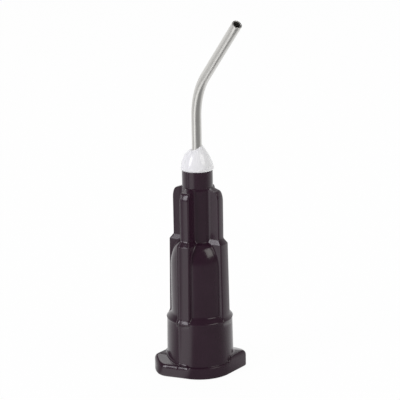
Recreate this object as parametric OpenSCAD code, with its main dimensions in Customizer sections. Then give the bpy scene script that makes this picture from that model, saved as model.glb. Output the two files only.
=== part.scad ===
// Bent dispensing needle tip: a moulded hub with a tapered socket and two locking lugs,
// a steel tube bonded into its neck, and the adhesive that holds the tube.
// The tip stands on its mouth, with the socket's axis along +Z and the mouth's rim at z = 0.
// Heights are stacked from the mouth upwards, and outer diameters are built on the socket's.

/* [Socket] */
// Diameter of the tapered socket at its mouth
mouth_d = 4.3; // [4.2:0.01:4.4]
// Loss of diameter for each millimetre of depth
taper = 0.06; // [0.04:0.005:0.08]
// Depth of the tapered socket
socket_depth = 8.5; // [7.5:0.1:9.2]
// Height of the funnel between the socket and the tube's passage
funnel_h = 1.8; // [1.2:0.1:2.2]

/* [Locking flange] */
// Diameter across the two locking lugs
lug_d = 7.8; // [7.2:0.05:8.6]
// Height of a lug at its sharp corner
lug_h = 1.44; // [1.2:0.02:2]
// Height of a lug along its second straight side, which its top falls to
lug_low_h = 1.08; // [0.8:0.02:1.18]
// Slope of that fall, in degrees
lug_slope = 16; // [8:1:40]
// Width of the bevel along the lugs' upper edges
lug_bevel_w = 0.3; // [0.1:0.02:0.5]
// Height of the bevel along the lugs' upper edges
lug_bevel_h = 0.45; // [0.1:0.02:0.6]
// Bearing of a lug's sharp corner, in degrees
lug_start = 3; // [-15:1:12]
// Bearing at which a lug's rounded corner would be if it were sharp, in degrees
lug_end = 29; // [26:1:50]
// Radius of a lug's rounded corner, seen from above
lug_corner_r = 1.2; // [0.5:0.05:1.4]
// Width of the round flange past the barrel
flange_over = 0.18; // [0.1:0.02:0.4]
// Height of the round flange
flange_h = 1.02; // [0.6:0.01:1.3]
// Radius of the rounding along the flange's edges
rim_round = 0.14; // [0.02:0.01:0.2]

/* [Barrel] */
// Thickness of the barrel's wall at the mouth
barrel_wall = 0.67; // [0.5:0.01:0.9]
// Loss of the barrel's radius between the mouth and the collar
barrel_draft = 0.06; // [0:0.01:0.1]
// Width of the collar's lip past the barrel
lip_over = 0.05; // [0.01:0.01:0.1]
// Height of the collar's lip above the mouth
collar_z = 4.68; // [3:0.02:5.5]
// Height of the lip's own edge
lip_h = 0.08; // [0.04:0.01:0.3]
// Height of the sloped shoulder above the lip
shoulder_h = 0.42; // [0.2:0.01:0.7]

/* [Core and neck] */
// Thickness of the socket's wall between the fins, at the socket's end
bay_wall = 0.48; // [0.35:0.01:0.55]
// Height of straight wall past the socket's end, before the dome
dome_lift = 0.6; // [0.2:0.05:1]
// Height of the dome that closes the wall
dome_h = 2.3; // [1.8:0.1:2.8]
// Diameter of the core between the upper fins
core_d = 2.64; // [2.3:0.02:2.9]
// Diameter of the neck
neck_d = 2.56; // [2.3:0.02:3]
// Height of bare neck above the fins
neck_h = 1.4; // [0.8:0.1:3]

/* [Fins] */
// Number of fins around the hub
fin_count = 4; // [2:2:6]
// Bearing of the first fin, in degrees
fin_bearing = -32; // [-45:1:45]
// Height of the lower fins, from the collar to the step
low_fin_h = 6.64; // [5.5:0.02:8]
// Thickness of the lower fins
low_fin_t = 1.2; // [0.8:0.02:1.4]
// Distance that the lower fins' foot stands inside the collar's lip
low_fin_inset = 0.11; // [0.02:0.01:0.2]
// Loss of the lower fins' radius between the collar and the step
low_fin_draft = 0.12; // [0:0.01:0.2]
// Height of the sloped step between the lower and the upper fins, along their outer ends
step_h = 0.42; // [0.2:0.02:0.8]
// Height of the same slope along the fins' sides
side_step_h = 0.38; // [0.19:0.02:0.79]
// Width of the step
step_w = 0.33; // [0.1:0.01:0.6]
// Height of the upper fins, from the step to where they meet the neck
up_fin_h = 4.26; // [3:0.02:6]
// Thickness of the upper fins
up_fin_t = 0.86; // [0.5:0.02:1]
// Fall of the fins' top from the neck to their outer corner
fin_top_fall = 0.2; // [0:0.02:0.4]
// Radial reach of the rounding at the fins' outer top corner
fin_round_w = 0.4; // [0.1:0.02:0.5]
// Height of the rounding at the fins' outer top corner
fin_round_h = 0.9; // [0.2:0.05:1.5]

/* [Tube] */
// Outer diameter of the tube
tube_d = 0.819; // [0.5:0.001:0.9]
// Wall of the tube
tube_wall = 0.1; // [0.05:0.005:0.15]
// Height of the tube's lower end above the funnel
tube_inset = 0.4; // [0.1:0.1:1]
// Length of straight tube between the neck and the bend
rise = 4.4; // [3:0.1:20]
// Radius of the bend along the tube's centre line
bend_r = 5; // [2:0.1:10]
// Angle of the bend, in degrees
bend_angle = 45; // [10:1:90]
// Bearing that the tube bends towards, in degrees
bend_bearing = -58; // [-180:1:180]
// Length of the straight end past the bend
tip_len = 6.6; // [2:0.1:20]
// Swell of the wall around the bend, as bending leaves it, inside and outside
bend_swell = 0.001; // [0.001:0.001:0.01]

/* [Adhesive] */
// Radial clearance between the tube and its passage
passage_clear = 0.012; // [0.01:0.002:0.05]
// Depth of the flared well that the adhesive fills
well_h = 2.4; // [1:0.1:3]
// Thickness of the neck's wall around the well's mouth
well_wall = 0.33; // [0.2:0.01:0.5]
// Height of the adhesive above the neck
bead_h = 1.7; // [1:0.05:2.4]
// Overhang of the adhesive past the neck
bead_over = 0.07; // [0.01:0.01:0.15]
// Height of the rounded band at the adhesive's foot
bead_band = 0.42; // [0.2:0.02:0.6]
// Thickness of the adhesive's upper edge, around the tube
bead_lip = 0.08; // [0.02:0.01:0.2]

/* [Hidden] */
cut = 0.01; // overrun that keeps cuts clean
arc_steps = 8; // straight steps in a rounded outline
bulge_r = 0.72; // the adhesive's radius where its side turns, as a share of its foot's
bulge_z = 0.62; // the height of that turn, as a share of the adhesive's height
$fn = 96;

socket_end_d = mouth_d - taper * socket_depth;
passage_d = tube_d + 2 * passage_clear;
barrel_r = mouth_d / 2 + barrel_wall;
flange_r = barrel_r + flange_over;
lip_r = barrel_r - barrel_draft + lip_over;
bay_r = socket_end_d / 2 + bay_wall;
low_fin_r = lip_r - low_fin_inset;
low_fin_top_r = low_fin_r - low_fin_draft;
up_fin_r = low_fin_top_r - step_w;
well_d = neck_d - 2 * well_wall;
bead_r = neck_d / 2 + bead_over;
funnel_z = socket_depth + funnel_h;
dome_z = socket_depth + dome_lift;
shoulder_z = collar_z + lip_h + shoulder_h;
step_z = collar_z + low_fin_h;
fin_top_z = step_z + step_h + up_fin_h;
neck_z = fin_top_z + neck_h;
well_z = neck_z - well_h;
tube_z = funnel_z + tube_inset;
bend_z = neck_z + rise;

// Point at a distance and a bearing from the axis
function polar(r, a) = [r * cos(a), r * sin(a)];

// Points of an elliptical arc about [x, y], from bearing a to bearing b
function arc(x, y, w, h, a, b) =
    [for (i = [0:arc_steps]) let (t = a + (b - a) * i / arc_steps) [x + w * cos(t), y + h * sin(t)]];

// Side of a lug that leaves the round flange as a tangent, with its upper edge bevelled.
// The side faces the bearing a, and is cut as a prism that keeps all that lies behind it:
// the prism stands h high at the side and rises from there past the lug's full height.
module lug_side(a, h) {
    run = (lug_h + cut - h) / tan(lug_slope);
    inner = flange_r - lug_bevel_w;
    rotate([90, 0, a]) linear_extrude(2 * lug_d, center = true) polygon([
        [-lug_d, -cut], [flange_r, -cut], [flange_r, h - lug_bevel_h],
        [inner, h], [inner - run, lug_h + cut], [-lug_d, lug_h + cut]
    ]);
}

// One lug: a straight side, a sharp corner, the outer arc, a rounded corner and a second straight side.
// Its outline overruns the two sides and the outer arc, which the prisms and the turned shape cut.
module lug() {
    lug_r = lug_d / 2;
    swing = acos(flange_r / lug_r);
    over_side = flange_r + cut;
    over_arc = lug_r + cut;
    side_a = lug_start - swing;
    side_b = lug_end + swing;
    corner_c = lug_r - lug_corner_r;
    corner_a = side_b - acos((flange_r - lug_corner_r) / corner_c);
    corner = polar(corner_c, corner_a);
    intersection() {
        translate([0, 0, -cut]) linear_extrude(lug_h + 2 * cut) polygon(concat(
            [[0, 0], polar(over_side, side_a)],
            arc(0, 0, over_arc, over_arc, side_a + acos(over_side / over_arc), corner_a),
            arc(corner[0], corner[1], lug_corner_r, lug_corner_r, corner_a, side_b),
            [polar(over_side, side_b)]
        ));
        rotate_extrude() polygon(concat(
            [[0, 0]],
            arc(lug_r - rim_round, rim_round, rim_round, rim_round, -90, 0),
            [[lug_r, lug_h - lug_bevel_h], [lug_r - lug_bevel_w, lug_h], [0, lug_h]]
        ));
        lug_side(side_a, lug_h);
        lug_side(side_b, lug_low_h);
    }
}

// Flange between the lugs, barrel, collar, socket wall, dome, core and neck
module turned_body() {
    rotate_extrude() polygon(concat(
        [[0, 0]],
        arc(flange_r - rim_round, rim_round, rim_round, rim_round, -90, 0),
        arc(flange_r - rim_round, flange_h - rim_round, rim_round, rim_round, 0, 90),
        [[barrel_r, flange_h], [barrel_r - barrel_draft, collar_z]],
        [[lip_r, collar_z], [lip_r, collar_z + lip_h], [bay_r, shoulder_z]],
        arc(core_d / 2, dome_z, bay_r - core_d / 2, dome_h, 0, 90),
        [[core_d / 2, fin_top_z - fin_top_fall], [neck_d / 2, fin_top_z], [neck_d / 2, neck_z], [0, neck_z]]
    ));
}

// Section across one pair of fins: thick below the step, thin above it
module fin_section() {
    low = low_fin_t / 2;
    up = up_fin_t / 2;
    polygon([
        [-low, collar_z], [low, collar_z], [low, step_z], [up, step_z + side_step_h],
        [up, neck_z], [-up, neck_z], [-up, step_z + side_step_h], [-low, step_z]
    ]);
}

// Fins, trimmed to a turned outline
module fins() {
    corner_z = fin_top_z - fin_top_fall;
    intersection() {
        for (i = [0:fin_count / 2 - 1])
            rotate([90, 0, 90 + fin_bearing + i * 360 / fin_count])
                linear_extrude(4 * low_fin_r, center = true) fin_section();
        rotate_extrude() polygon(concat(
            [[0, collar_z], [low_fin_r, collar_z], [low_fin_top_r, step_z], [up_fin_r, step_z + step_h]],
            arc(up_fin_r - fin_round_w, corner_z - fin_round_h, fin_round_w, fin_round_h, 0, 90),
            [[neck_d / 2 - cut, fin_top_z + cut], [0, fin_top_z + cut]]
        ));
    }
}

// Tapered socket, funnel, the tube's passage and the adhesive's flared well, as one turned void
// that runs past both ends of the hub at the slopes of the socket and the well
module hub_bore() {
    well_flare = (well_d - passage_d) / 2 / well_h;
    rotate_extrude() polygon([
        [0, -cut], [mouth_d / 2 + taper / 2 * cut, -cut], [socket_end_d / 2, socket_depth],
        [passage_d / 2, funnel_z], [passage_d / 2, well_z],
        [well_d / 2 + well_flare * cut, neck_z + cut], [0, neck_z + cut]
    ]);
}

// One moulding: socket, locking flange, fins and neck
module hub() {
    color("#3a2f38") difference() {
        union() {
            for (turn = [0, 180]) rotate(turn) lug();
            turned_body();
            fins();
        }
        hub_bore();
    }
}

// Tube seen end on, with its wall swollen by a given amount
module tube_ring(swell = 0) {
    difference() {
        circle(d = tube_d + 2 * swell);
        circle(d = tube_d - 2 * tube_wall - 2 * swell);
    }
}

// Drawn tube: a bend in an upright plane, a straight foot below it and a straight end past it.
// The bend turns about its own centre, and both straights leave it as tangents.
module cannula() {
    color("silver") rotate(bend_bearing) translate([bend_r, 0, bend_z]) rotate([90, 0, 0]) {
        rotate(180 - bend_angle) {
            rotate_extrude(angle = bend_angle) translate([bend_r, 0]) tube_ring(bend_swell);
            translate([bend_r, 0, 0]) rotate([90, 0, 0]) linear_extrude(tip_len) tube_ring();
        }
        translate([-bend_r, 0, 0]) rotate([90, 0, 0]) linear_extrude(bend_z - tube_z) tube_ring();
    }
}

// Adhesive: it fills the well around the tube and stands over the neck as a drop
module adhesive_bead() {
    tube_r = tube_d / 2;
    band_r = bead_band / 2;
    color("white") rotate_extrude() polygon(concat(
        [[tube_r, well_z], [passage_d / 2, well_z], [well_d / 2, neck_z], [neck_d / 2, neck_z]],
        arc(bead_r - band_r, neck_z + band_r, band_r, band_r, -60, 20),
        [[bead_r * bulge_r, neck_z + bead_h * bulge_z]],
        [[tube_r + bead_lip, neck_z + bead_h], [tube_r, neck_z + bead_h]]
    ));
}

hub();
cannula();
adhesive_bead();
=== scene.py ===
# %% [markdown]
# A dispensing needle tip stands on its mouth: a glossy dark purple hub with four fins and two
# locking lugs, a bent steel tube, and a white drop of adhesive that holds the tube in the neck.
# Each of the three pieces is a surface worked out with numpy, because a moulded or bent part is
# easily said in words as a function of an angle and a height. The CAD part gives the sizes.

import math

import bpy
import numpy as np
from mathutils import Matrix, Vector


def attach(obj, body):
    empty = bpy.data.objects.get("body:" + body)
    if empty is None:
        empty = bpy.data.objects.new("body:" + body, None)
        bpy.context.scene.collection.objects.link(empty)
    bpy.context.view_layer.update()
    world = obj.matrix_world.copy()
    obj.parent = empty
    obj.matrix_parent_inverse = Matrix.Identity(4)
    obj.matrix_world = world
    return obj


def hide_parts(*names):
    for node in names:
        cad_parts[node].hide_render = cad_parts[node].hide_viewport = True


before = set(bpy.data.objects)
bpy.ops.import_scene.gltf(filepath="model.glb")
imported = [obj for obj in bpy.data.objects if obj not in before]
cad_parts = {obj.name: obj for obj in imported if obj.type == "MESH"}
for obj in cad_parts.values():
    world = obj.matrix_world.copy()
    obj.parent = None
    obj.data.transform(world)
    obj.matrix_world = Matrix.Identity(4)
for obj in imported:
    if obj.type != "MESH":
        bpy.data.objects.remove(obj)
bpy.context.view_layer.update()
MM = 0.001


# %% [markdown]
# Every piece is a closed sheet of four-sided faces: rows follow a profile and columns go round an
# axis. Joining the last row to the first as well closes a piece that has a hole through it, such
# as a tube. A closed sheet can be inside out, so its signed volume is measured, and the faces are
# turned where it is negative. That is surer than guessing the order of the corners.


# %% A closed sheet of faces
def sheet_mesh(name, points):
    """Mesh of a grid of points (rows, columns, 3) in millimetres, closed in both directions.
    Face (i, j) joins rows i, i+1 and columns j, j+1, counted round. The volume is the sum over
    triangles of a . (b x c) / 6, and it comes out positive where the faces point outwards."""
    rows, cols = points.shape[:2]
    index = np.arange(rows * cols).reshape(rows, cols)
    below, beside = np.roll(index, -1, 0), np.roll(index, -1, 1)
    quads = np.stack([index, beside, np.roll(below, -1, 1), below], -1).reshape(-1, 4)
    flat = points.reshape(-1, 3) * MM
    tris = np.concatenate([quads[:, [0, 1, 2]], quads[:, [0, 2, 3]]])
    a, b, c = flat[tris[:, 0]], flat[tris[:, 1]], flat[tris[:, 2]]
    volume = float(np.einsum("ij,ij->i", a, np.cross(b, c)).sum() / 6)
    if volume < 0:
        quads = quads[:, ::-1]
    mesh = bpy.data.meshes.new(name)
    mesh.from_pydata(flat.tolist(), [], quads.tolist())
    mesh.validate()
    mesh.polygons.foreach_set("use_smooth", np.ones(len(mesh.polygons), bool))
    obj = bpy.data.objects.new(name, mesh)
    bpy.context.scene.collection.objects.link(obj)
    print(f"{name}: {2 * len(quads)} triangles, {abs(volume) / MM ** 3:.1f} cubic mm")
    return obj


def ring(radius, height, angle):
    """Points at radius(row, column) and height(row, column) round the upright axis."""
    radius, height = np.broadcast_arrays(radius, height)
    return np.stack([radius * np.cos(angle), radius * np.sin(angle), height + 0 * angle], -1)


def smooth_min(a, b, k):
    """The lesser of a and b, with the corner where they cross rounded over a difference of k."""
    return np.minimum(a, b) - np.maximum(0, 1 - np.abs(a - b) / k) ** 2 * k / 4


def smooth_max(a, b, k):
    """The greater of a and b, with the valley where they cross filled over a difference of k."""
    return -smooth_min(-a, -b, k)


def ease(x, low, high):
    """0 below low, 1 above high, and 3t^2 - 2t^3 between them."""
    t = np.clip((x - low) / (high - low), 0, 1)
    return t * t * (3 - 2 * t)


# %% [markdown]
# The hub is one moulding. A fin's side faces point sideways, but seen from the axis each bearing
# still meets the outside once, so the whole outside is a radius for each bearing and height. The
# bearings crowd where the fins' sides stand, and the heights where the profile turns, so that the
# rounded edges of the real moulding are there in the mesh and catch the light.

# %% The hub's sizes, in millimetres
MOUTH_R, SOCKET_END_R, SOCKET_DEPTH = 2.15, 1.895, 8.5
FUNNEL_Z, PASSAGE_R, WELL_Z, WELL_R = 10.3, 0.4215, 15.0, 0.95
FLANGE_R, FLANGE_H, LUG_R, LUG_H, LUG_LOW_H = 3.0, 1.02, 3.9, 1.44, 1.08
LUG_START, LUG_END, LUG_CORNER_R, LUG_SLOPE = 3.0, 29.0, 1.2, 16.0
RIM_ROUND = 0.14
LUG_EDGE = 0.3  # width of the lug's upper edge, which its sloped top starts inside
BARREL_R, BARREL_TOP_R, COLLAR_Z = 2.82, 2.76, 4.68
LIP_R, LIP_TOP_Z, SHOULDER_Z = 2.81, 4.76, 5.18
BAY_R, DOME_Z, DOME_H = 2.375, 9.1, 2.3
CORE_R, CORE_TOP_Z, NECK_R, NECK_Z = 1.32, 15.8, 1.28, 17.4
FIN_BEARING, FIN_CORNER, FIN_ROOT = -32.0, 0.1, 0.28
LOW_FIN_R, LOW_FIN_TOP_R, LOW_HALF, STEP_Z = 2.7, 2.58, 0.6, 11.32
UP_FIN_R, UP_HALF, STEP_TOP_Z, SIDE_STEP_TOP_Z = 2.25, 0.43, 11.74, 11.7
FIN_ROUND_W, FIN_ROUND_H, FIN_ROUND_Z, FIN_TOP_Z = 0.4, 0.9, 14.9, 16.0
NECK_ROUND = 0.04
PARTING_BEARING, PARTING_HEIGHT, PARTING_WIDTH = 50.0, 0.012, 0.5
print("the hub is", NECK_Z, "mm tall and", 2 * LUG_R, "mm across its lugs")

# %% The bearings of the hub's columns
half_fin = np.concatenate([
    [0, 2.5, 5, 7.5, 9.2], np.arange(10.2, 15.3, 0.33), np.arange(16, 22.1, 0.8),
    np.arange(23.2, 28.1, 1.2), [31, 35, 40],
])
quarter = np.concatenate([half_fin, [45], 90 - half_fin[:0:-1]])
bearings = np.concatenate([FIN_BEARING + 90 * k + quarter for k in range(4)])
corner_steps = np.arange(-1.6, 1.7, 0.45)
for corner in (LUG_START, LUG_START + 180):
    bearings = np.concatenate([bearings, corner + corner_steps])
for seam in (PARTING_BEARING, PARTING_BEARING + 180):
    bearings = np.concatenate([bearings, seam + np.array([-0.5, -0.25, 0, 0.25, 0.5])])
bearings = np.unique(np.round((bearings + 180) % 360 - 180, 2))
bearings = bearings[np.diff(bearings, append=bearings[0] + 360) > 0.08]
theta = np.radians(bearings)[None, :]
print(len(bearings), "columns round the hub")

# %% [markdown]
# The mouth has a round flange with two lugs that turn into the mate's thread. Each lug leaves the
# flange along a tangent, comes to a sharp corner, follows an arc, and returns over a rounded corner
# and a second tangent. From above that is one outline, and a second function gives its top.

# %% The outline and the top of the locking flange
lug_turn = (bearings[None, :] + 60) % 180 - 60
swing = math.degrees(math.acos(FLANGE_R / LUG_R))
side_a, side_b = LUG_START - swing, LUG_END + swing
corner_c = LUG_R - LUG_CORNER_R
corner_a = side_b - math.degrees(math.acos((FLANGE_R - LUG_CORNER_R) / corner_c))


def unit(bearing):
    """Level direction of length 1 at a bearing in degrees: (cos, sin)."""
    return np.array([math.cos(math.radians(bearing)), math.sin(math.radians(bearing))])


def lug_outline(turn):
    """Radius of the flange and its lugs: a tangent side, the outer arc, a rounded corner and a
    second tangent side. A straight side is flange radius / cos(bearing - its own bearing), and
    a rounded corner is where the bearing's ray leaves a circle: c.u + sqrt(r^2 - |c x u|^2)."""
    first = FLANGE_R / np.cos(np.radians(np.clip(turn - side_a, 0, 75)))
    second = FLANGE_R / np.cos(np.radians(np.clip(side_b - turn, 0, 75)))
    off = np.radians(turn - corner_a)
    inside = np.clip(LUG_CORNER_R ** 2 - (corner_c * np.sin(off)) ** 2, 0, None)
    rounded = corner_c * np.cos(off) + np.sqrt(inside)
    end = corner_c * unit(corner_a) + LUG_CORNER_R * unit(side_b)
    end_bearing = math.degrees(math.atan2(end[1], end[0]))
    outer = np.where(turn < corner_a, LUG_R, np.where(turn < end_bearing, rounded, second))
    lug = smooth_min(first, outer, 0.07)
    return np.where((turn > side_a) & (turn < side_b), np.maximum(lug, FLANGE_R), FLANGE_R)


def lug_share(turn):
    """0 on the round flange and 1 on a lug, eased over a few degrees at both tangent sides."""
    return ease(turn, side_a - 2, side_a + 7) * (1 - ease(turn, side_b - 4, side_b + 4))


def top_height(turn, radius):
    """Height of the flange's top: it climbs from the lug's second side at a fixed slope, in
    proportion to the distance inside that side, up to the lug's full height."""
    inside = FLANGE_R - LUG_EDGE - radius * np.cos(np.radians(turn - side_b))
    slope = LUG_LOW_H + math.tan(math.radians(LUG_SLOPE)) * np.maximum(inside, 0)
    lug = smooth_min(slope, LUG_H, 0.06)
    return FLANGE_H + (lug - FLANGE_H) * lug_share(turn)


outline = lug_outline(lug_turn)
share = lug_share(lug_turn)
edge_w = 0.08 + 0.26 * share
edge_h = 0.09 + 0.33 * share
fillet = 0.06 + 0.12 * share
edge_top = top_height(lug_turn, outline - edge_w)
print(f"the flange reaches {outline.min():.2f} to {outline.max():.2f} mm from the axis,"
      f" and its top stands {edge_top.min():.2f} to {edge_top.max():.2f} mm high")


# %% The rows of the flange and the barrel
def steps(count, first=0.0, last=1.0):
    """Column of evenly spaced values, to run down the rows of a profile."""
    return np.linspace(first, last, count)[:, None]


quarter_turn = steps(5, 0, math.pi / 2)
foot_in = steps(4) * (outline - RIM_ROUND - 2.21) + 2.21
bottom_round_r = outline - RIM_ROUND * (1 - np.sin(quarter_turn[1:]))
bottom_round_z = RIM_ROUND * (1 - np.cos(quarter_turn[1:])) + 0 * outline
side_z = RIM_ROUND + steps(4)[1:] * (edge_top - edge_h - RIM_ROUND)
fine_turn = steps(9, 0, math.pi / 2)[1:]
top_round_r = outline - edge_w * (1 - np.cos(fine_turn))
top_round_z = edge_top - edge_h * (1 - np.sin(fine_turn))
plateau_r = (outline - edge_w) + steps(7)[1:] * (BARREL_R + fillet - outline + edge_w)
plateau_z = top_height(lug_turn, plateau_r)
root_turn = steps(6, 0, math.pi / 2)[1:]
fillet_r = BARREL_R + fillet * (1 - np.sin(root_turn))
fillet_z = plateau_z[-1:] + fillet * (1 - np.cos(root_turn))
barrel_z = fillet_z[-1:] + steps(8)[1:] * (COLLAR_Z - 0.06 - fillet_z[-1:])
barrel_r = BARREL_R + (BARREL_TOP_R - BARREL_R) * (barrel_z - FLANGE_H) / (COLLAR_Z - FLANGE_H)

print("the barrel starts", barrel_z[0].min().round(2), "to", barrel_z[0].max().round(2), "mm up")

# %% [markdown]
# Above the collar three plain lines say everything: the turned body's radius, how far the fins
# reach, and half their thickness, each against the height. A running mean rounds their turns.

# %% The lines of the body and the fins
FINE_STEP, BELL_REACH = 0.005, 30
fine_z = np.arange(COLLAR_Z - 0.2, NECK_Z + 0.2, FINE_STEP)


def softened(z_corners, values, spread=0.028):
    """A line through the corners, with its turns rounded by a running mean whose weight at a
    distance d is exp(-d^2 / (2 spread^2))."""
    line = np.interp(fine_z, z_corners, values)
    away = np.arange(-BELL_REACH, BELL_REACH + 1) * FINE_STEP
    bell = np.exp(-0.5 * (away / spread) ** 2)
    padded = np.pad(line, BELL_REACH, mode="edge")
    return np.convolve(padded, bell / bell.sum(), mode="valid")


arc = np.linspace(0, math.pi / 2, 24)
dome_r = CORE_R + (BAY_R - CORE_R) * np.cos(arc)
dome_z = DOME_Z + DOME_H * np.sin(arc)
body_z = np.concatenate([
    [4.4, COLLAR_Z - 0.001, COLLAR_Z, LIP_TOP_Z, SHOULDER_Z], dome_z, [CORE_TOP_Z, FIN_TOP_Z, 17.6]])
body_r = np.concatenate([
    [BARREL_TOP_R + 0.005, BARREL_TOP_R, LIP_R, LIP_R, BAY_R], dome_r, [CORE_R, NECK_R, NECK_R]])
body_line = softened(body_z, body_r)
fin_z = np.concatenate([
    [4.6, COLLAR_Z, STEP_Z, STEP_TOP_Z], FIN_ROUND_Z + FIN_ROUND_H * np.sin(arc),
    [FIN_TOP_Z, FIN_TOP_Z + 0.03]])
fin_r = np.concatenate([
    [LOW_FIN_R, LOW_FIN_R, LOW_FIN_TOP_R, UP_FIN_R],
    1.85 + FIN_ROUND_W * np.cos(arc), [NECK_R, 1.0]])
fin_line = softened(fin_z, fin_r, 0.02)
half_line = softened([4.6, STEP_Z, SIDE_STEP_TOP_Z, 18], [LOW_HALF, LOW_HALF, UP_HALF, UP_HALF])
print(len(fine_z), "heights, with fins", fin_line.min().round(2), "to", fin_line.max().round(2), "mm out")

# %% [markdown]
# The mesh needs rows only where a line turns. So the turning of both lines is added up along the
# height, with a small constant for the plain stretches, and the rows split that sum evenly.

# %% The hub's outside above the collar
turning = np.abs(np.gradient(body_line)) + np.abs(np.gradient(fin_line)) + 0.0006
keep = (fine_z > COLLAR_Z - 0.05) & (fine_z < NECK_Z - 0.06)
travel = np.cumsum(turning[keep])
upper_z = np.interp(np.linspace(travel[0], travel[-1], 168), travel, fine_z[keep])[:, None]
body = np.interp(upper_z, fine_z, body_line)
reach = np.interp(upper_z, fine_z, fin_line)
half = np.interp(upper_z, fine_z, half_line)
off_axis = np.radians(np.abs((bearings[None, :] - FIN_BEARING + 45) % 90 - 45))


def fin_radius(reach, half, off, corner):
    """Radius at which a ray leaves a fin: reach across its end, half thickness / sin(off) along
    its side, and c.u + sqrt(r^2 - |c x u|^2) round the corner between them, where off is the
    angle between the ray and the fin's middle."""
    across = half - corner
    along = np.sqrt(np.maximum((reach - corner) ** 2 - across ** 2, 1e-6))
    start, stop = np.arctan2(across, along), np.arctan2(half, along)
    cross = across * np.cos(off) - along * np.sin(off)
    dot = along * np.cos(off) + across * np.sin(off)
    rounded = dot + np.sqrt(np.maximum(corner ** 2 - cross ** 2, 0))
    side = half / np.maximum(np.sin(off), 1e-3)
    return np.where(off < start, reach, np.where(off < stop, rounded, side))


fins = fin_radius(reach, half, off_axis, FIN_CORNER)
upper_r = smooth_max(body + 0 * fins, fins, FIN_ROOT)
print(len(upper_z), "rows from the collar to the neck")

# %% [markdown]
# Inside are the tapered socket, a funnel, the tube's passage and the flared well. They are plain
# cones, so a few rows do. A faint raised line shows where the two halves of the mould met: it is
# added to the radius of the outside at two opposite bearings.

# %% The neck's rim, the inside, and the whole hub
neck_turn = steps(5, 0, math.pi / 2)
neck_r = NECK_R - NECK_ROUND * (1 - np.cos(neck_turn))
neck_zs = NECK_Z - NECK_ROUND * (1 - np.sin(neck_turn))
inner = np.array([
    [WELL_R + 0.03, NECK_Z], [WELL_R, NECK_Z - 0.02], [0.686, 16.2], [PASSAGE_R, WELL_Z],
    [PASSAGE_R, 12.6], [PASSAGE_R, FUNNEL_Z + 0.05], [PASSAGE_R + 0.04, FUNNEL_Z - 0.03],
    [1.14, 9.42], [SOCKET_END_R - 0.05, SOCKET_DEPTH + 0.06], [SOCKET_END_R, SOCKET_DEPTH - 0.04],
    [1.96, 6.33], [2.02, 4.33], [2.08, 2.33], [2.12, 1.0], [MOUTH_R - 0.003, 0.06], [2.17, 0.02],
])
seam_off = np.abs((bearings - PARTING_BEARING + 90) % 180 - 90)[None, :]
seam = PARTING_HEIGHT * np.clip(1 - seam_off / PARTING_WIDTH, 0, 1)
one = np.ones_like(theta)
outside_r = [
    bottom_round_r, outline + 0 * side_z, top_round_r, plateau_r, fillet_r, barrel_r, upper_r]
outside_z = [
    bottom_round_z, side_z, top_round_z, plateau_z, fillet_z, barrel_z, upper_z * one]
hub_r = np.concatenate(
    [foot_in] + [r + seam for r in outside_r] + [neck_r * one, inner[:, :1] * one])
hub_z = np.concatenate([0 * foot_in] + outside_z + [neck_zs * one, inner[:, 1:] * one])
hub = sheet_mesh("hub_moulding", ring(hub_r, hub_z, theta))

# %% [markdown]
# The tube is a drawn steel pipe bent once. A round section is carried along a line that goes
# straight up, turns through 45 degrees on a circle, and runs straight to the cut end. The inner
# wall is carried along the same line on the way back, and the ends close on themselves.

# %% The tube's middle line
TUBE_R, TUBE_WALL, FOOT_Z, BEND_Z, BEND_R, TIP = 0.4095, 0.1, 10.7, 21.8, 5.0, 6.6
BEND_ANGLE, BEND_BEARING = math.radians(45), math.radians(-58)
BURR = 0.02
STRAIGHT = BEND_Z - FOOT_Z
BENT = BEND_R * BEND_ANGLE
TUBE_LENGTH = STRAIGHT + BENT + TIP
print(f"the tube is {TUBE_LENGTH:.1f} mm long, {BENT:.2f} mm of it in the bend")


def tube_line(s):
    """Point and direction on the tube's middle line at lengths s from its foot, in the upright
    plane of the bend: straight, then x = R(1 - cos t), z = R sin t, then straight again."""
    turn = np.clip((s - STRAIGHT) / BEND_R, 0, BEND_ANGLE)
    past = np.maximum(s - STRAIGHT - BENT, 0)
    x = BEND_R * (1 - np.cos(turn)) + past * np.sin(turn)
    z = FOOT_Z + np.minimum(s, STRAIGHT) + BEND_R * np.sin(turn) + past * np.cos(turn)
    return x, z, turn


# %% The bent tube
end_turn = np.linspace(0, math.pi / 2, 4)
burr = BURR * (1 - np.cos(end_turn))
outer_s = np.concatenate([
    [BURR], np.linspace(1, STRAIGHT, 9), STRAIGHT + np.linspace(0.13, BENT, 30),
    np.linspace(STRAIGHT + BENT + 0.4, TUBE_LENGTH - BURR, 8),
])
end_s = TUBE_LENGTH - BURR + BURR * np.sin(end_turn)[1:]
tube_s = np.concatenate([outer_s, end_s, end_s[::-1], outer_s[::-1], [0.0, 0.0]])
tube_radius = np.concatenate([
    np.full(len(outer_s), TUBE_R), TUBE_R - burr[1:], (TUBE_R - TUBE_WALL + burr[1:])[::-1],
    np.full(len(outer_s), TUBE_R - TUBE_WALL), [TUBE_R - TUBE_WALL + BURR, TUBE_R - BURR],
])
around = np.radians(np.arange(0, 360, 5.0))[None, :]
line_x, line_z, line_turn = (v[:, None] for v in tube_line(tube_s))
lean = tube_radius[:, None] * np.cos(around)
plane_x, plane_z = line_x + lean * np.cos(line_turn), line_z - lean * np.sin(line_turn)
plane_y = tube_radius[:, None] * np.sin(around)
cosb, sinb = math.cos(BEND_BEARING), math.sin(BEND_BEARING)
tube_points = np.stack([
    plane_x * cosb - plane_y * sinb, plane_x * sinb + plane_y * cosb, plane_z], -1)
tube = sheet_mesh("steel_tube", tube_points)
grid_u = np.broadcast_to(around / (2 * math.pi), tube_points.shape[:2])
grid_v = np.broadcast_to(tube_s[:, None] / TUBE_LENGTH, tube_points.shape[:2])
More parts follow.
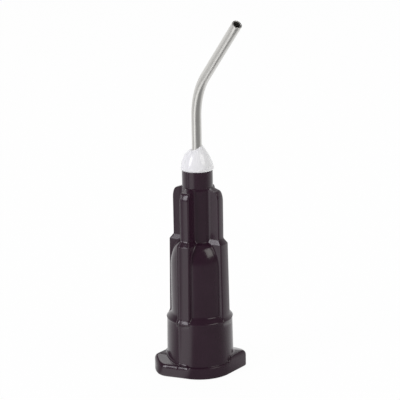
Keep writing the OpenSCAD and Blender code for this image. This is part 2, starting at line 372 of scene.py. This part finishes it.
for label, values in (("around", grid_u), ("along", grid_v)):
    layer = tube.data.attributes.new(label, "FLOAT", "POINT")
    layer.data.foreach_set("value", values.astype(np.float32).ravel())

# %% [markdown]
# The adhesive was a liquid drop. It bulges a little over the neck's edge and climbs the tube, and
# it climbs higher on one side, because the tip was not quite upright when the drop set. Its height
# at each bearing is a power curve of the radius, and the power and the height follow the cosine of
# the bearing from the high side.

# %% The drop of adhesive
DROP_R, DROP_HIGH, DROP_LOW, DROP_FOOT = 1.37, 2.12, 1.66, 0.13
DROP_INNER_R = TUBE_R - 0.01  # a hair inside the tube, so that no gap shows
HIGH_SIDE, SHOULDER_POWER = math.radians(12), 0.62
drop_theta = np.radians(np.arange(0, 360, 3.0))[None, :]
towards = np.cos(drop_theta - HIGH_SIDE)
drop_top = (DROP_HIGH + DROP_LOW) / 2 + (DROP_HIGH - DROP_LOW) / 2 * towards
power = 1.6 - 0.62 * towards
foot_turn = steps(6, -0.45 * math.pi, 0)
foot_r = DROP_R - DROP_FOOT * (1 - np.cos(foot_turn)) + 0 * drop_theta
foot_z = DROP_FOOT * (1 + np.sin(foot_turn)) + 0 * drop_theta
rho = 1 - np.linspace(0, 1, 30)[1:, None] ** 1.6
drop_r = DROP_INNER_R + (DROP_R - DROP_INNER_R) * rho + 0 * drop_theta
drop_z = DROP_FOOT + (drop_top - DROP_FOOT) * np.clip(1 - rho ** power, 0, 1) ** SHOULDER_POWER
seat = np.array([
    [DROP_INNER_R, 0.4], [DROP_INNER_R, -2.3], [WELL_R - 0.02, -0.03], [WELL_R, 0.003]])
all_r = np.concatenate([foot_r, drop_r, seat[:, :1] + 0 * drop_theta])
all_z = NECK_Z + np.concatenate([foot_z, drop_z, seat[:, 1:] + 0 * drop_theta])
drop = sheet_mesh("adhesive_drop", ring(all_r, all_z, drop_theta))
print(f"the drop climbs {drop_z.max():.2f} mm on its high side and {drop_top.min():.2f} mm on its low side")

# %% [markdown]
# Three finishes. Each is made of shader nodes that read Object coordinates or the tube's own
# attributes, so it stays with the piece from every side.


# %% A helper for materials
def new_material(name, colour, metallic, roughness, specular=0.5):
    """Material with a Principled shader, whose plain values are set on its own sockets."""
    material = bpy.data.materials.new(name)
    material.use_nodes = True
    shader = material.node_tree.nodes["Principled BSDF"]
    shader.inputs["Base Color"].default_value = (*colour, 1)
    shader.inputs["Metallic"].default_value = metallic
    shader.inputs["Roughness"].default_value = roughness
    shader.inputs["Specular IOR Level"].default_value = specular
    return material, shader


def node(material, kind, inputs=None, **settings):
    """Adds a node to a material or the world, sets its own settings, and sets or links its inputs."""
    made = material.node_tree.nodes.new(kind)
    for key, value in settings.items():
        setattr(made, key, value)
    for key, value in (inputs or {}).items():
        if isinstance(value, bpy.types.NodeSocket):
            material.node_tree.links.new(value, made.inputs[key])
        else:
            made.inputs[key].default_value = value
    return made


def link(material, source, target):
    """Joins an output socket to an input socket."""
    material.node_tree.links.new(source, target)


# %% [markdown]
# The hub is a dark purple polyolefin with a good shine. Such a moulding is never a mirror: the
# skin has a slight orange peel, and the roughness changes from place to place. Two noises do this,
# a broad one for the roughness and the colour, and a fine one for a very low bump.

# %% Dark purple moulded plastic
purple, purple_shader = new_material("purple_moulded", (0.024, 0.008, 0.018), 0.0, 0.2, 0.5)
place = node(purple, "ShaderNodeTexCoord").outputs["Object"]
broad = node(purple, "ShaderNodeTexNoise", {"Vector": place, "Scale": 420.0, "Detail": 3.0})
gloss = node(purple, "ShaderNodeMapRange", {
    "Value": broad.outputs["Fac"], "From Min": 0.3, "From Max": 0.7, "To Min": 0.15, "To Max": 0.24})
link(purple, gloss.outputs["Result"], purple_shader.inputs["Roughness"])
tone = node(purple, "ShaderNodeMix", {
    "Factor": broad.outputs["Fac"], "A": (0.019, 0.006, 0.014, 1), "B": (0.030, 0.011, 0.023, 1)},
    data_type="RGBA")
link(purple, tone.outputs["Result"], purple_shader.inputs["Base Color"])
peel = node(purple, "ShaderNodeTexNoise", {"Vector": place, "Scale": 2600.0, "Detail": 2.0})
peel_bump = node(purple, "ShaderNodeBump", {
    "Height": peel.outputs["Fac"], "Strength": 0.10, "Distance": 0.00004})
link(purple, peel_bump.outputs["Normal"], purple_shader.inputs["Normal"])

# %% [markdown]
# Drawn steel has fine scratches that run along the tube. A noise on the two attributes of the tube
# is stretched by giving the way round a far greater scale than the way along. It drives both the
# roughness and a low bump, and so the scratches follow the bend.

# %% Drawn stainless steel
steel, steel_shader = new_material("drawn_steel", (0.70, 0.69, 0.665), 1.0, 0.34)
around_fac = node(steel, "ShaderNodeAttribute", attribute_name="around").outputs["Fac"]
along_fac = node(steel, "ShaderNodeAttribute", attribute_name="along").outputs["Fac"]
turned = node(steel, "ShaderNodeMath", {0: around_fac, 1: 2 * math.pi}, operation="MULTIPLY")
lines_at = node(steel, "ShaderNodeCombineXYZ", {
    "X": node(steel, "ShaderNodeMath", {0: turned.outputs[0]}, operation="COSINE").outputs[0],
    "Y": node(steel, "ShaderNodeMath", {0: turned.outputs[0]}, operation="SINE").outputs[0],
    "Z": node(steel, "ShaderNodeMath", {0: along_fac, 1: 0.35}, operation="MULTIPLY").outputs[0]})
lines = node(steel, "ShaderNodeTexNoise", {
    "Vector": lines_at.outputs[0], "Scale": 22.0, "Detail": 4.0, "Roughness": 0.6})
sheen = node(steel, "ShaderNodeMapRange", {
    "Value": lines.outputs["Fac"], "From Min": 0.3, "From Max": 0.7, "To Min": 0.27, "To Max": 0.41})
link(steel, sheen.outputs["Result"], steel_shader.inputs["Roughness"])
line_bump = node(steel, "ShaderNodeBump", {
    "Height": lines.outputs["Fac"], "Strength": 0.12, "Distance": 0.00001})
link(steel, line_bump.outputs["Normal"], steel_shader.inputs["Normal"])

# %% [markdown]
# The adhesive is a white, slightly soft-looking resin with a wet shine. A little scattering below
# the surface softens its shading, as in the real drop.

# %% White adhesive
white, white_shader = new_material("white_adhesive", (0.84, 0.84, 0.86), 0.0, 0.16)
white_shader.inputs["Subsurface Weight"].default_value = 0.25
white_shader.inputs["Subsurface Radius"].default_value = (0.0006, 0.0006, 0.0006)
white_shader.inputs["Subsurface Scale"].default_value = 1.0
white_place = node(white, "ShaderNodeTexCoord").outputs["Object"]
ripple = node(white, "ShaderNodeTexNoise", {"Vector": white_place, "Scale": 900.0, "Detail": 1.0})
ripple_bump = node(white, "ShaderNodeBump", {
    "Height": ripple.outputs["Fac"], "Strength": 0.12, "Distance": 0.00005})
link(white, ripple_bump.outputs["Normal"], white_shader.inputs["Normal"])

print("finishes:", purple.name, steel.name, white.name)

# %% Each piece takes its finish and rides on the part
for piece, cad_node, finish in (
    (hub, "hub", purple), (tube, "cannula", steel), (drop, "adhesive_bead", white),
):
    piece.data.materials.append(finish)
    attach(piece, "root")
    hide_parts(cad_node)
    print(piece.name, "stands for", cad_node)

# %% [markdown]
# The studio is a white sweep: a wide pale floor, a pale surround and three soft lamps. The camera
# sees floor and surround white. A glossy dark moulding shows its shape by what it mirrors, so in
# reflections the studio is white behind the part and darker in front of it, as in a room whose
# front is left dark. An upright wall seen from above mirrors the floor close by, so the floor glows
# for reflections only, brighter behind the part and in one wedge on the left. That wedge is a
# painted reflection that draws the soft streak down the barrel. All this is fixed in the room, and
# the light that falls on the part stays plain.

# %% Floor
floor_mesh = bpy.data.meshes.new("studio_floor")
floor_mesh.from_pydata([(-3, -3, -2e-5), (3, -3, -2e-5), (3, 3, -2e-5), (-3, 3, -2e-5)], [], [(0, 1, 2, 3)])
floor = bpy.data.objects.new("studio_floor", floor_mesh)
bpy.context.scene.collection.objects.link(floor)
paper = bpy.data.materials.new("white_paper")
paper.use_nodes = True
paper.node_tree.nodes.clear()
rays = node(paper, "ShaderNodeLightPath")
seen = node(paper, "ShaderNodeMath", {
    0: rays.outputs["Is Camera Ray"], 1: rays.outputs["Is Glossy Ray"]}, operation="MAXIMUM")
paper_matt = node(paper, "ShaderNodeBsdfDiffuse", {"Color": (0.86, 0.86, 0.86, 1)})
# The way from the part's axis to a spot on the floor, as a level direction of length 1
spot = node(paper, "ShaderNodeVectorMath", {
    0: node(paper, "ShaderNodeTexCoord").outputs["Object"], 1: (1, 1, 0)}, operation="MULTIPLY")
way = node(paper, "ShaderNodeVectorMath", {0: spot.outputs["Vector"]}, operation="NORMALIZE")
# Seen only by glossy rays, the floor glows brighter in one wedge on the left: a painted reflection that
# draws the streak down the barrel
painted_streak_facing = node(paper, "ShaderNodeVectorMath", {
    0: way.outputs["Vector"], 1: (-0.72, -0.69, 0)}, operation="DOT_PRODUCT")
painted_streak_glow = node(paper, "ShaderNodeMapRange", {
    "Value": painted_streak_facing.outputs["Value"], "From Min": 0.90, "From Max": 0.985, "To Min": 0.0, "To Max": 1.0},
    interpolation_type="SMOOTHSTEP")
way_parts = node(paper, "ShaderNodeSeparateXYZ", {"Vector": way.outputs["Vector"]})
rear_level = node(paper, "ShaderNodeMapRange", {
    "Value": way_parts.outputs["Y"], "From Min": -0.5, "From Max": 0.5, "To Min": 0.30, "To Max": 0.95},
    interpolation_type="SMOOTHSTEP")
mirrored_level = node(paper, "ShaderNodeMath", {
    0: painted_streak_glow.outputs["Result"], 1: rear_level.outputs["Result"]}, operation="ADD")
paper_level = node(paper, "ShaderNodeMix", {
    "Factor": rays.outputs["Is Camera Ray"], "A": mirrored_level.outputs[0], "B": 1.0})
paper_glow = node(paper, "ShaderNodeEmission", {
    "Color": (1, 1, 1, 1), "Strength": paper_level.outputs["Result"]})
glow_share = node(paper, "ShaderNodeMath", {0: seen.outputs[0], 1: 0.97}, operation="MULTIPLY")
paper_mix = node(paper, "ShaderNodeMixShader", {
    0: glow_share.outputs[0], 1: paper_matt.outputs[0], 2: paper_glow.outputs[0]})
node(paper, "ShaderNodeOutputMaterial", {"Surface": paper_mix.outputs[0]})
floor_mesh.materials.append(paper)

print("the floor is", floor_mesh.vertices[2].co.x * 2, "m wide")

# %% Surround
world = bpy.data.worlds.new("studio")
bpy.context.scene.world = world
world.use_nodes = True
background = world.node_tree.nodes["Background"]
background.inputs["Color"].default_value = (1, 1, 1, 1)
facing = node(world, "ShaderNodeSeparateXYZ", {
    "Vector": node(world, "ShaderNodeTexCoord").outputs["Generated"]})
behind = node(world, "ShaderNodeMapRange", {
    "Value": facing.outputs["Y"], "From Min": -0.35, "From Max": 0.75}, interpolation_type="SMOOTHSTEP")
overhead = node(world, "ShaderNodeMapRange", {
    "Value": facing.outputs["Z"], "From Min": 0.15, "From Max": 0.7, "To Min": 1.0, "To Max": 0.12},
    interpolation_type="SMOOTHSTEP")
sweep = node(world, "ShaderNodeMath", {
    0: behind.outputs["Result"], 1: overhead.outputs["Result"]}, operation="MULTIPLY")
mirrored = node(world, "ShaderNodeMapRange", {
    "Value": sweep.outputs[0], "To Min": 0.10, "To Max": 1.0})
world_rays = node(world, "ShaderNodeLightPath")
glossy_level = node(world, "ShaderNodeMix", {
    "Factor": world_rays.outputs["Is Glossy Ray"], "A": 0.4, "B": mirrored.outputs["Result"]})
seen_level = node(world, "ShaderNodeMix", {
    "Factor": world_rays.outputs["Is Camera Ray"], "A": glossy_level.outputs["Result"], "B": 1.0})
link(world, seen_level.outputs["Result"], background.inputs["Strength"])
print("the surround has", len(world.node_tree.nodes), "nodes")


# %% Soft lamps
def soft_lamp(name, place, aim, size, power, colour=(1, 1, 1)):
    """Rectangular area lamp at place, facing aim, with size = (width, height) in metres."""
    light = bpy.data.lights.new(name, "AREA")
    light.shape, light.size, light.size_y = "RECTANGLE", *size
    light.energy, light.color = power, colour
    lamp = bpy.data.objects.new(name, light)
    bpy.context.scene.collection.objects.link(lamp)
    lamp.location = place
    lamp.rotation_euler = (Vector(aim) - Vector(place)).to_track_quat("-Z", "Y").to_euler()
    print(name, "at", place, "with", power, "W")


middle = (0, 0, 0.012)
soft_lamp("left_lamp", (-0.24, -0.16, 0.16), middle, (0.12, 0.22), 0.50, (0.97, 0.95, 1.0))
soft_lamp("right_lamp", (0.22, -0.16, 0.19), middle, (0.16, 0.20), 0.30, (1.0, 0.99, 0.94))
soft_lamp("top_lamp", (0.0, 0.20, 0.28), middle, (0.30, 0.14), 0.30)

# %% [markdown]
# The camera stands in front and a little above, with a long lens, and is rolled by one degree. Its
# three directions are worked out from pitch, yaw and roll and become the columns of its matrix.

# %% Camera
camera_data = bpy.data.cameras.new("camera")
camera_data.lens, camera_data.sensor_width = 127.1, 36.0
camera_data.clip_start, camera_data.clip_end = 0.01, 20
camera = bpy.data.objects.new("camera", camera_data)
bpy.context.scene.collection.objects.link(camera)
pitch, yaw, roll = math.radians(14.635), math.radians(0.093), math.radians(-0.977)
ahead = Vector((math.sin(yaw) * math.cos(pitch), math.cos(yaw) * math.cos(pitch), -math.sin(pitch)))
level_right = ahead.cross(Vector((0, 0, 1))).normalized()
level_up = level_right.cross(ahead)
right = math.cos(roll) * level_right + math.sin(roll) * level_up
up = -math.sin(roll) * level_right + math.cos(roll) * level_up
camera.matrix_world = Matrix.Translation((0, -0.1134, 0.0444)) @ Matrix(
    (right, up, -ahead)).transposed().to_4x4()
bpy.context.scene.camera = camera
bpy.context.scene.view_settings.view_transform = "Standard"
print("the camera is", round(camera.location.length / MM), "mm from the mouth")
